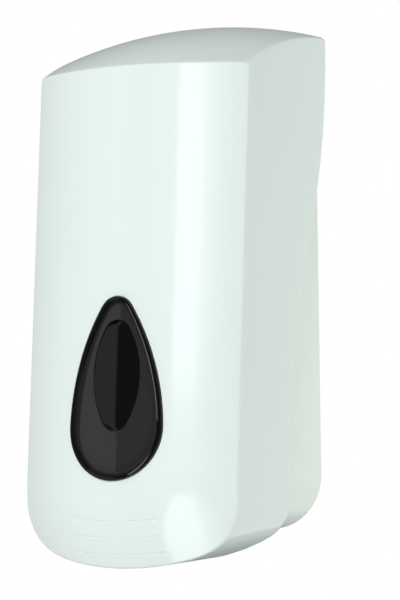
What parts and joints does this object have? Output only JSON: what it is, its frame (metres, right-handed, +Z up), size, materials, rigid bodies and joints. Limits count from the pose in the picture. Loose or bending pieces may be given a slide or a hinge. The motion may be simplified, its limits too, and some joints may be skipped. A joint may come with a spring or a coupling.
{
  "type": "wall mounted soap dispenser",
  "caption": "Wall mounted soap dispenser: white hinged push cover with a drop-shaped smoked window over a wall tray, reservoir, piston pump and key lock",
  "frame": {"origin": "centre of the rectangle of wall fixing holes, on the wall plane", "axes": "+X to the right seen from the front, +Y into the wall (the front faces -Y), +Z up"},
  "size_m": [0.124, 0.1168, 0.2842],
  "materials": {
    "cover_plastic": "glossy injection-moulded ABS, white",
    "tray_plastic": "satin gloss injection-moulded ABS, white",
    "window_smoke": "glossy smoked acrylic",
    "tank_plastic": "natural blow-moulded polyethylene",
    "pump_plastic": "moulded acetal, natural white",
    "cap_plastic": "moulded polypropylene, blue grey",
    "seal_rubber": "nitrile rubber, black",
    "valve_silicone": "silicone, natural",
    "stainless": "stainless steel, drawn or rolled",
    "lock_metal": "nickel plated zinc"
  },
  "bodies": {
    "wall_unit": {"back_plate": "tray_plastic", "pump_bracket": "stainless", "bracket_screws": "stainless", "reservoir": "tank_plastic", "tank_outlet_seal": "seal_rubber", "tank_outlet_nut": "pump_plastic", "pump_body": "pump_plastic", "inlet_ball_cage": "pump_plastic", "inlet_valve_seat": "pump_plastic", "pump_gland": "pump_plastic", "rod_wiper": "seal_rubber", "outlet_valve": "valve_silicone", "nozzle": "pump_plastic", "return_spring": "stainless"},
    "hinge": {"hinge_rod": "stainless", "rod_clips": "stainless"},
    "cover": {"front_cover": "cover_plastic", "window_lens": "window_smoke", "lock_housing": "lock_metal", "lock_nut": "lock_metal"},
    "lock": {"lock_plug": "lock_metal", "lock_cam": "stainless", "cam_screw": "stainless"},
    "piston": {"pump_piston": "pump_plastic", "piston_seal": "seal_rubber", "push_cap": "pump_plastic"},
    "ball": {"inlet_ball": "stainless"},
    "cap": {"filler_cap": "cap_plastic", "filler_cap_seal": "seal_rubber"}
  },
  "joints": [
    {"name": "cover_push", "type": "hinge", "parent": "wall_unit", "child": "hinge", "pos_m": [0, -0.02, 0.133], "axis": [1, 0, 0], "range_deg": [0, 2.5], "stiffness_Nm_per_rad": 60, "springref_deg": -0.29},
    {"name": "cover_open", "type": "hinge", "parent": "hinge", "child": "cover", "pos_m": [0, -0.02, 0.133], "axis": [-1, 0, 0], "range_deg": [0, 80]},
    {"name": "lock_turn", "type": "hinge", "parent": "cover", "child": "lock", "pos_m": [-0.031, -0.056, -0.125], "axis": [0, 0, -1], "range_deg": [0, 90]},
    {"name": "piston_stroke", "type": "slide", "parent": "wall_unit", "child": "piston", "axis": [0, 1, 0], "range_m": [0, 0.01035], "deforming": ["return_spring"]},
    {"name": "ball_lift", "type": "slide", "parent": "wall_unit", "child": "ball", "axis": [0, 0, 1], "range_m": [0, 0.0015]},
    {"name": "cap_turn", "type": "hinge", "parent": "wall_unit", "child": "cap", "pos_m": [0, -0.046, 0.09], "axis": [0, 0, 1], "range_deg": [0, 90]}
  ],
  "couplings": [
    {"joint": "piston_stroke", "follows": "cover_push", "m_per_rad": 0.23705}
  ]
}
